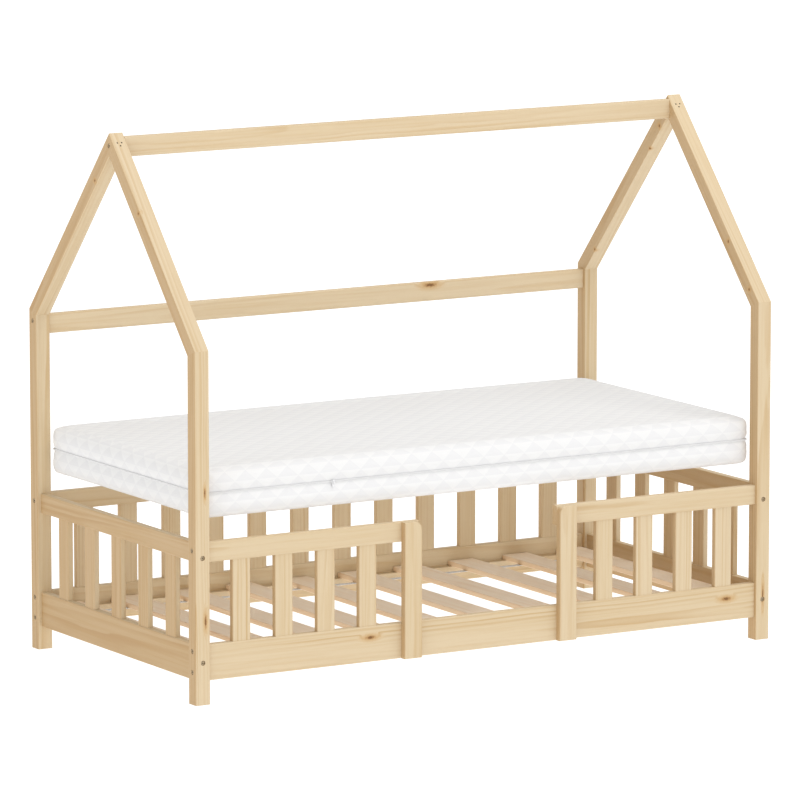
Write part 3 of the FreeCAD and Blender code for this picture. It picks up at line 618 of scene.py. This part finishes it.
def socket_screw_form():
    """A cheese head with a hexagon socket and its shank, set at each point and facing its way."""
    labels = ("Head Radius", "Head Height", "Socket Radius", "Socket Depth", "Shank Radius", "Shank Length")
    tree, given = new_form("Socket screw", [(label, "Float") for label in labels] + [("Finish", "Material")])
    radius, tall, key = given["Head Radius"], given["Head Height"], given["Socket Radius"]
    wide = calc(tree, "SUBTRACT", radius, calc(tree, "MULTIPLY", key, 1.12))
    rim_line = calc(tree, "MULTIPLY_ADD", wide, -0.5, radius)
    rim = ring_of(tree, rim_line, 24, wide, tall, calc(tree, "MULTIPLY", radius, 0.12))
    sleeve_line = calc(tree, "MULTIPLY", key, 1.3)
    sleeve_wall, sleeve_tall = calc(tree, "MULTIPLY", key, 0.52), calc(tree, "MULTIPLY", tall, 0.94)
    sleeve = ring_of(tree, sleeve_line, 6, sleeve_wall, sleeve_tall, 0.00012)
    floor_plate = {"Vertices": 6, "Radius": sleeve_line}
    bottom = add(tree, "GeometryNodeMeshCircle", floor_plate, fill_type="NGON").outputs["Mesh"]
    lift = calc(tree, "SUBTRACT", calc(tree, "MULTIPLY", tall, 0.5), given["Socket Depth"])
    shank_size = {"Vertices": 12, "Radius": given["Shank Radius"], "Depth": given["Shank Length"]}
    shank = add(tree, "GeometryNodeMeshCylinder", shank_size).outputs["Mesh"]
    under = calc(tree, "MULTIPLY", calc(tree, "ADD", tall, given["Shank Length"]), -0.5)
    whole = add(tree, "GeometryNodeJoinGeometry")
    for part in (rim, sleeve, shifted(tree, bottom, lift), shifted(tree, shank, under)):
        tree.links.new(part, whole.inputs[0])
    screw = shifted(tree, whole.outputs[0], calc(tree, "MULTIPLY", tall, -0.5))
    facing = add(tree, "GeometryNodeInputNamedAttribute", {"Name": "facing"}, data_type="FLOAT_VECTOR")
    turned = {"Vector": facing.outputs["Attribute"]}
    turn = add(tree, "FunctionNodeAlignRotationToVector", turned, axis="Z").outputs["Rotation"]
    placed = {"Points": given["Geometry"], "Instance": screw, "Rotation": turn}
    end_form(tree, add(tree, "GeometryNodeInstanceOnPoints", placed).outputs["Instances"], given["Finish"])
    return tree


def points_facing(name, rows):
    """A mesh of loose points, each with the way that its screw head faces."""
    mesh = bpy.data.meshes.new(name)
    mesh.from_pydata([spot for spot, way in rows], [], [])
    facing = mesh.attributes.new("facing", "FLOAT_VECTOR", "POINT")
    facing.data.foreach_set("vector", [value for spot, way in rows for value in way])
    return mesh


def frame_screw_seats():
    """Seats of the heads in the posts, and at both ends of the ridge beam."""
    rows = []
    for side in (-1, 1):
        seats = [(y, z) for y in (-RAIL_LINE, RAIL_LINE) for z in LONG_RAIL_SCREWS]
        seats += [(RAIL_LINE, EAVE_SCREW), (0, RIDGE_SCREW)]
        rows += [((side * POST_FACE_X, y, z), (side, 0, 0)) for y, z in seats]
        for end in (-1, 1):
            rows += [((side * GABLE_LINE, end * POST_FACE_Y, z), (0, end, 0)) for z in END_RAIL_SCREWS]
    return rows


def apex_screw_seats():
    """Three small heads at each gable, in a shallow arc on the front rafter's upper face."""
    rows = []
    out = Vector((0, -math.sin(SLOPE), math.cos(SLOPE)))
    down = Vector((0, -math.cos(SLOPE), -math.sin(SLOPE)))
    for side in (-1, 1):
        for index in (-1, 0, 1):
            run = 0.030 + (1 - abs(index)) * 0.009
            seat = Vector((side * GABLE_LINE + index * 0.006, 0, PEAK)) + down * run
            rows.append((tuple(seat - out * 0.0002), tuple(out)))
    return rows


def dress_screws():
    form = socket_screw_form()
    bronze = metal("Bronzed screw steel", linear(196, 178, 150), linear(156, 139, 114), 0.46, 420)
    black = metal("Black screw steel", linear(62, 56, 50), linear(40, 37, 34), 0.4, 420)
    sizes = {"Head Radius": 0.005, "Head Height": 0.0045, "Socket Radius": 0.00231, "Socket Depth": 0.0025}
    sizes |= {"Shank Radius": 0.0034, "Shank Length": 0.065, "Finish": bronze}
    screws = grow("Frame_screws", form, points_facing("Frame_screws", frame_screw_seats()), sizes)
    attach(screws, "bed_frame")
    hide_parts("frame_screws")
    sizes = {"Head Radius": 0.002, "Head Height": 0.0014, "Socket Radius": 0.0009, "Socket Depth": 0.0009}
    sizes |= {"Shank Radius": 0.0014, "Shank Length": 0.046, "Finish": black}
    apex = grow("Apex_screws", form, points_facing("Apex_screws", apex_screw_seats()), sizes)
    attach(apex, "bed_frame")
    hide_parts("apex_screws")


# Mattress.


def plan_point(x, y, half, corner):
    """Moves a point of a rectangle into the same rectangle with round corners."""
    dx, dy = abs(x) - (half[0] - corner), abs(y) - (half[1] - corner)
    if dx <= 0 or dy <= 0:
        return x, y
    scale = max(dx, dy) / math.hypot(dx, dy)
    return math.copysign(half[0] - corner + dx * scale, x), math.copysign(half[1] - corner + dy * scale, y)


def side_profile():
    """Section of the side from its lower edge to its upper one: inset, height and length of cloth."""
    top = MATTRESS_THICK - CROWN
    middle = MATTRESS_THICK / 2
    turns = [math.radians(a) for a in (0, 22, 45, 68, 90)]
    lower = [(EDGE_ROUND * (1 - math.sin(a)), EDGE_ROUND * (1 - math.cos(a))) for a in turns]
    upper = [(inset, top - height) for inset, height in reversed(lower)]

    below = [(inset / 1000, middle - gap / 1000) for gap, inset in WAIST]
    above = [(inset / 1000, middle + gap / 1000) for gap, inset in reversed(WAIST)][:-1]
    rows = lower + below + above + upper
    runs = [0.0]
    for (inset, height), (before, below_it) in zip(rows[1:], rows):
        runs.append(runs[-1] + math.hypot(inset - before, height - below_it))
    last = len(lower) + len(WAIST) - 1
    waist_run = (runs[last] + runs[last + 1]) / 2
    return [(inset, height, run - waist_run) for (inset, height), run in zip(rows, runs)]


def box_line(half, corner, step):
    """Even steps along a half length, with a step where the corner's turn begins."""
    straight = half - corner
    count = 2 * round(straight / step)
    middle = [-straight + 2 * straight * i / count for i in range(count + 1)]
    bends = max(2, round(corner / step))
    ends = [half - corner * i / bends for i in range(bends)]
    return [-value for value in ends] + middle + ends[::-1]


def cover_mesh():
    """The whole cover as one closed grid: a lower and an upper panel and the side between them."""
    half = (MATTRESS_HALF[0] - SLACK, MATTRESS_HALF[1] - SLACK)
    xs, ys = (box_line(size, MATTRESS_CORNER, COVER_STEP) for size in half)
    nx, ny = len(xs), len(ys)
    rim = [(i, 0) for i in range(nx - 1)] + [(nx - 1, j) for j in range(ny - 1)]
    rim += [(i, ny - 1) for i in range(nx - 1, 0, -1)] + [(0, j) for j in range(ny - 1, 0, -1)]
    vertices, faces, cloth = [], [], []

    def place(x, y, inset, height):
        shrunk = (half[0] - inset, half[1] - inset)
        corner = max(MATTRESS_CORNER - inset, 0.012)
        spot = plan_point(x * shrunk[0] / half[0], y * shrunk[1] / half[1], shrunk, corner)
        vertices.append((*spot, MATTRESS_BASE + height))
        return len(vertices) - 1

    profile = side_profile()
    rings = [[place(xs[i], ys[j], inset, height) for i, j in rim] for inset, height, run in profile]
    around = [0.0]
    outer = [Vector(vertices[v]) for v in rings[len(rings) // 4]]
    for spot, before in zip(outer[1:] + outer[:1], outer):
        around.append(around[-1] + (spot - before).length)
    fit = QUILT_BASE * round(around[-1] / QUILT_BASE) / around[-1]
    for row in range(len(rings) - 1):
        for k in range(len(rim)):
            following = (k + 1) % len(rim)
            faces.append((rings[row][k], rings[row][following], rings[row + 1][following], rings[row + 1][k]))
            u0, u1, v0, v1 = around[k] * fit, around[k + 1] * fit, profile[row][2], profile[row + 1][2]
            cloth += [(u0, v0), (u1, v0), (u1, v1), (u0, v1)]
    for ring, upper in ((rings[0], False), (rings[-1], True)):
        index = dict(zip(rim, ring))
        inset = profile[0][0]
        for i in range(1, nx - 1):
            for j in range(1, ny - 1):
                edge = min(half[0] - abs(xs[i]), half[1] - abs(ys[j]))
                level = min(1.0, edge / 0.28)
                height = MATTRESS_THICK - CROWN * (1 - level) ** 2 if upper else 0.0
                index[i, j] = place(xs[i], ys[j], inset, height)
        shift = PANEL_SHIFT if upper else 2 * PANEL_SHIFT
        for i in range(nx - 1):
            for j in range(ny - 1):
                corners = [(i, j), (i + 1, j), (i + 1, j + 1), (i, j + 1)]
                if not upper:
                    corners.reverse()
                faces.append([index[c] for c in corners])
                cloth += [(vertices[index[c]][0] + shift, vertices[index[c]][1]) for c in corners]
    return vertices, faces, cloth


def from_edge(spots):
    """How far each spot is inside the mattress's full length and width."""
    return np.minimum(MATTRESS_HALF[0] - np.abs(spots[:, 0]), MATTRESS_HALF[1] - np.abs(spots[:, 1]))


def swell_grip(spots):
    """How firmly each spot is held while the cover swells: fully at the zip, less inside the panels."""
    at_zip = np.clip(1 - (np.abs(spots[:, 2] - ZIP_LINE) - 0.006) / 0.012, 0, 1)
    return np.maximum(at_zip, np.clip((from_edge(spots) - 0.03) / 0.12, 0, 0.85))


def swell(piece):
    """Lets the cover fill out under a light pressure, held at the zip, and limits how far it moves."""
    mesh = piece.data
    start = read_rows(mesh.vertices, "co")
    held = piece.vertex_groups.new(name="held")
    for number, weight in enumerate(swell_grip(start)):
        if weight > 0:
            held.add([number], float(weight), "REPLACE")
    cloth = piece.modifiers.new("Swell", "CLOTH")
    settings = cloth.settings
    settings.quality = 6
    settings.mass = 0.25
    settings.tension_stiffness = settings.compression_stiffness = 12
    settings.shear_stiffness = 6
    settings.bending_stiffness = 0.4
    settings.vertex_group_mass = "held"
    settings.pin_stiffness = 1.0
    settings.use_pressure = True
    settings.uniform_pressure_force = 4
    settings.effector_weights.gravity = 0
    cloth.point_cache.frame_start, cloth.point_cache.frame_end = 1, SWELL_FRAMES
    for number in range(1, SWELL_FRAMES + 1):
        scene.frame_set(number)
    shown = piece.evaluated_get(bpy.context.evaluated_depsgraph_get())
    moved = read_rows(shown.data.vertices, "co") - start
    piece.modifiers.clear()
    scene.frame_set(1)
    length = np.linalg.norm(moved, axis=1, keepdims=True)
    limit = SLACK - 0.0004
    moved *= np.minimum(1.0, limit / np.maximum(length, 1e-9))
    mesh.vertices.foreach_set("co", (start + moved).ravel())
    mesh.update()


def puff(across, up):
    """Height of the quilting from 0 to 1; the triangles that point down stand fuller."""
    rise, lean = up / QUILT_ROW, across / QUILT_BASE
    right, left = lean + rise / 2, lean - rise / 2
    lines = np.stack([rise, right, left])
    nearest = np.abs(lines - np.round(lines)).min(axis=0)
    rounded = 1 - (1 - np.clip(nearest * 3, 0, 1)) ** 2
    down = (right - np.floor(right)) < (rise - np.floor(rise))
    return rounded * np.where(down, 1.0, 0.35)


def puckers(across, up):
    """Height of the small gathers on both sides of the zip."""
    gathers = np.sin(across * 2 * math.pi / 0.021) + 0.6 * np.sin(across * 2 * math.pi / 0.0137 + 1.3)
    return 0.0005 * gathers * np.exp(-(((np.abs(up) - 0.014) / 0.008) ** 2))


def cloth_places(mesh):
    """Where every vertex lies on the cloth, and whether that is the side's cloth."""
    corners = np.empty(len(mesh.loops), dtype=np.int64)
    mesh.loops.foreach_get("vertex_index", corners)
    flat = read_rows(mesh.uv_layers["cloth"].data, "uv", 2)
    cloth = np.zeros((len(mesh.vertices), 2))
    cloth[corners] = flat
    on_side = np.ones(len(mesh.vertices), dtype=bool)
    on_side[corners[flat[:, 0] > SIDE_END]] = False
    return cloth[:, 0], cloth[:, 1], on_side


def quilt(piece):
    """Raises the quilting from the cover, sinks its edge seam and puckers it along the zip."""
    mesh = piece.data
    spots, ways = read_rows(mesh.vertices, "co"), read_rows(mesh.vertex_normals, "vector")
    across, up, on_side = cloth_places(mesh)
    to_seam = np.minimum(up - up[on_side].min(), up[on_side].max() - up)
    fade_side = np.clip(to_seam / 0.012, 0, 1) * np.clip((np.abs(up) - 0.007) / 0.012, 0, 1)
    edge = from_edge(spots)
    fade_panel = np.clip((edge - EDGE_ROUND) / 0.02, 0, 1)
    height = np.where(on_side, SIDE_PUFF * fade_side, TOP_PUFF * fade_panel) * puff(across, up)
    near_seam = np.where(on_side, to_seam, np.maximum(edge - EDGE_ROUND, 0))
    height -= SEAM_DEPTH * np.exp(-((near_seam / SEAM_WIDTH) ** 2))
    height += np.where(on_side, puckers(across, up), 0)
    spots += ways * height[:, None]
    for axis, size in enumerate(MATTRESS_HALF):
        spots[:, axis] = np.clip(spots[:, axis], -size, size)
    spots[:, 2] = np.maximum(spots[:, 2], MATTRESS_BASE)
    mesh.vertices.foreach_set("co", spots.ravel())
    mesh.update()


def dress_mattress():
    vertices, faces, cloth = cover_mesh()
    piece = mesh_object("Mattress_cover", vertices, faces, quilted_cover())
    layer = piece.data.uv_layers.new(name="cloth")
    layer.data.foreach_set("uv", [value for spot in cloth for value in spot])
    swell(piece)
    finer = piece.modifiers.new("Finer", "SUBSURF")
    finer.levels = finer.render_levels = 1
    apply_modifiers(piece)
    quilt(piece)
    piece.data.shade_smooth()
    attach(piece, "mattress")
    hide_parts("mattress")


# Zip.


def waist_ring(inset, count=12):
    """Plan of the zip, so far inside the mattress's full size."""
    half = (MATTRESS_HALF[0] - inset, MATTRESS_HALF[1] - inset)
    corner = MATTRESS_CORNER - inset
    spots = []
    for quarter, (sx, sy) in enumerate(((1, 1), (-1, 1), (-1, -1), (1, -1))):
        for step in range(count + 1):
            angle = (quarter + step / count) * math.pi / 2
            x = sx * (half[0] - corner) + corner * math.cos(angle)
            spots.append((x, sy * (half[1] - corner) + corner * math.sin(angle)))
    return spots


def zip_coil_form():
    """Rungs of the closed coil, set upright along a rectangle with round corners."""
    labels = ("Length", "Depth", "Corner", "Level", "Pitch", "Rung Radius", "Rung Height")
    tree, given = new_form("Zip coil", [(label, "Float") for label in labels] + [("Finish", "Material")])
    frame_line = {"Width": given["Length"], "Height": given["Depth"]}
    path = add(tree, "GeometryNodeCurvePrimitiveQuadrilateral", frame_line).outputs["Curve"]
    rounding = {"Curve": path, "Radius": given["Corner"], "Count": 12}
    path = add(tree, "GeometryNodeFilletCurve", rounding, mode="POLY").outputs["Curve"]
    spaced = add(tree, "GeometryNodeResampleCurve", {"Curve": path, "Length": given["Pitch"]}, mode="LENGTH")
    tangent = add(tree, "GeometryNodeInputTangent").outputs["Tangent"]
    turn = add(tree, "FunctionNodeAlignRotationToVector", {"Vector": tangent}, axis="X", pivot_axis="Z")
    rung_size = {"Vertices": 6, "Radius": given["Rung Radius"], "Depth": given["Rung Height"]}
    rung = add(tree, "GeometryNodeMeshCylinder", rung_size).outputs["Mesh"]
    placed = {"Points": spaced.outputs["Curve"], "Instance": rung, "Rotation": turn.outputs["Rotation"]}
    rungs = add(tree, "GeometryNodeInstanceOnPoints", placed).outputs["Instances"]
    end_form(tree, shifted(tree, rungs, given["Level"]), given["Finish"])
    return tree


def dress_zip():
    rings = [[(x, y, ZIP_LINE + rise) for x, y in waist_ring(inset)] for inset, rise in TAPE_SECTION]
    vertices = [spot for ring in rings for spot in ring]
    faces = ring_faces(len(rings), len(rings[0]))
    tape = point_out(mesh_object("Zip_tape", vertices, faces, zip_cloth(), smooth=False))
    length, depth = (2 * (half - COIL_INSET) for half in MATTRESS_HALF)
    sizes = {"Length": length, "Depth": depth, "Corner": MATTRESS_CORNER - COIL_INSET, "Level": ZIP_LINE}
    sizes |= {"Pitch": 0.0022, "Rung Radius": 0.00062, "Rung Height": 0.0020, "Finish": coil_plastic()}
    coil = grow("Zip_coil", zip_coil_form(), bpy.data.meshes.new("Zip_coil"), sizes)
    for piece in (tape, coil):
        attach(piece, "mattress")
    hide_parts("mattress_zip")


def plate(name, outline, near, far, material, soften, axis="Y"):
    """A flat outline given a thickness, with its edges softened."""
    order = (lambda a, b, depth: (a, depth, b)) if axis == "Y" else (lambda a, b, depth: (depth, a, b))
    count = len(outline)
    vertices = [order(a, b, depth) for depth in (near, far) for a, b in outline]
    faces = [list(range(count)), list(range(2 * count - 1, count - 1, -1))]
    faces += [(k, (k + 1) % count, (k + 1) % count + count, k + count) for k in range(count)]
    piece = point_out(mesh_object(name, vertices, faces, material, smooth=False))
    return soften_edges(piece, soften, 25)


def merged(name, pieces):
    """Several meshes as one piece."""
    form = bmesh.new()
    for piece in pieces:
        form.from_mesh(piece.data)
    material = pieces[0].data.materials[0]
    for piece in pieces:
        bpy.data.objects.remove(piece)
    mesh = bpy.data.meshes.new(name)
    form.to_mesh(mesh)
    form.free()
    mesh.materials.append(material)
    made = bpy.data.objects.new(name, mesh)
    scene.collection.objects.link(made)
    return made


def in_place(outline, across, up):
    """An outline in millimetres, moved to its place."""
    return [(across + a / 1000, up + b / 1000) for a, b in outline]


def dress_slider():
    steel = metal("Zip slider metal", linear(236, 236, 237), linear(222, 223, 225), 0.4, 600, plating=0.55)
    x, z, back = SLIDER_X, ZIP_LINE, SLIDER_BACK
    front = back - 0.0024
    shield, wedge, arch = in_place(SHIELD, x, z), in_place(WEDGE, x, z), in_place(ARCH, front, z)
    hidden = [(a, z + (b - z) * 0.45) for a, b in shield]
    parts = [
        plate("Front_wing", shield, front, front + 0.0009, steel, 0.00025),
        plate("Core", wedge, front + 0.0008, back - 0.0008, steel, 0.0002),
        plate("Back_wing", hidden, back - 0.0009, back, steel, 0.00025),
        plate("Bail", arch, x - 0.001, x + 0.001, steel, 0.00022, axis="X"),
    ]
    slider = merged("Zip_slider", parts)
    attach(slider, "zip_slider")
    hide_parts("zip_slider")
    return steel


def round_rectangle(left, right, low, high, corner, count=4):
    spots = []
    middles = ((right - corner, high - corner), (left + corner, high - corner))
    middles += ((left + corner, low + corner), (right - corner, low + corner))
    for quarter, (a, b) in enumerate(middles):
        for step in range(count + 1):
            angle = (quarter + step / count) * math.pi / 2
            spots.append((a + corner * math.cos(angle), b + corner * math.sin(angle)))
    return spots


def dress_pull(steel):
    """The pull: a tab with a window round the bail, and a dished grip."""
    x, y, z = PULL_HINGE
    outer = round_rectangle(x - 0.003, x + 0.003, z - 0.012, z + 0.0006, 0.0011)
    window = round_rectangle(x - 0.0015, x + 0.0015, z - 0.005, z - 0.0006, 0.0006)
    near, far = y - PULL_HALF, y + PULL_HALF
    loops = [(outer, near), (window, near), (window, far), (outer, far)]
    vertices = [(a, depth, b) for loop, depth in loops for a, b in loop]
    faces = ring_faces(len(loops), len(outer))
    tab = point_out(mesh_object("Tab", vertices, faces, steel, smooth=False))
    soften_edges(tab, 0.0002, 40)
    grip = round_rectangle(x - 0.0018, x + 0.0018, z - 0.0108, z - 0.0062, 0.0008)
    boss = plate("Grip", grip, near, near - 0.00025, steel, 0.0001)
    pull = merged("Zip_pull", [tab, boss])
    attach(pull, "zip_pull")
    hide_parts("zip_pull")


# Studio.


def studio():
    floor_finish, tree = new_material("Pale studio floor")
    place = add(tree, "ShaderNodeTexCoord").outputs["Object"]
    cloud = speckle(tree, place, (3, 3, 3))
    colour = tint(tree, cloud, linear(148, 148, 148), linear(152, 152, 152))
    sockets = {"Base Color": colour, "Roughness": 0.8, "Specular IOR Level": 0.1}
    sockets |= {"Emission Color": (1, 1, 1, 1), "Emission Strength": 0.95}
    finish_shader(tree, sockets)
    reach, level = 60, -0.0005
    corners = [(x, y, level) for x, y in ((-reach, -reach), (reach, -reach), (reach, reach), (-reach, reach))]
    mesh_object("Floor", corners, [(0, 1, 2, 3)], floor_finish, smooth=False)
    world = bpy.data.worlds.new("Studio")
    world.use_nodes = True
    world.node_tree.nodes["Background"].inputs["Color"].default_value = (1.0, 0.995, 0.985, 1)
    world.node_tree.nodes["Background"].inputs["Strength"].default_value = 0.71
    scene.world = world
    for name, (spot, wide, tall, power, colour) in LAMPS.items():
        lamp = bpy.data.lights.new(name, "AREA")
        lamp.shape, lamp.size, lamp.size_y, lamp.energy, lamp.color = "RECTANGLE", wide, tall, power, colour
        holder = bpy.data.objects.new(name, lamp)
        holder.location = spot
        holder.rotation_euler = (LAMP_AIM - Vector(spot)).to_track_quat("-Z", "Y").to_euler()
        scene.collection.objects.link(holder)
    scene.view_settings.view_transform = "Standard"
    scene.view_settings.look = "None"


def photograph_camera():
    """The photograph's view: 31 degrees to the left of the front, 9 degrees down, from far away."""
    lens = bpy.data.cameras.new("Camera")
    lens.sensor_width = 36
    lens.lens = CAMERA_LENS
    lens.clip_end = 200
    holder = bpy.data.objects.new("Camera", lens)
    holder.location = CAMERA_SPOT
    aim = Vector(CAMERA_AIM) - holder.location
    holder.rotation_euler = aim.to_track_quat("-Z", "Y").to_euler()
    scene.collection.objects.link(holder)
    scene.camera = holder


photograph_camera()
studio()
dress_pine()
tape_finish = webbing()
wear("front_slat_tape", tape_finish)
wear("back_slat_tape", tape_finish)
dress_screws()
dress_mattress()
dress_zip()
dress_pull(dress_slider())
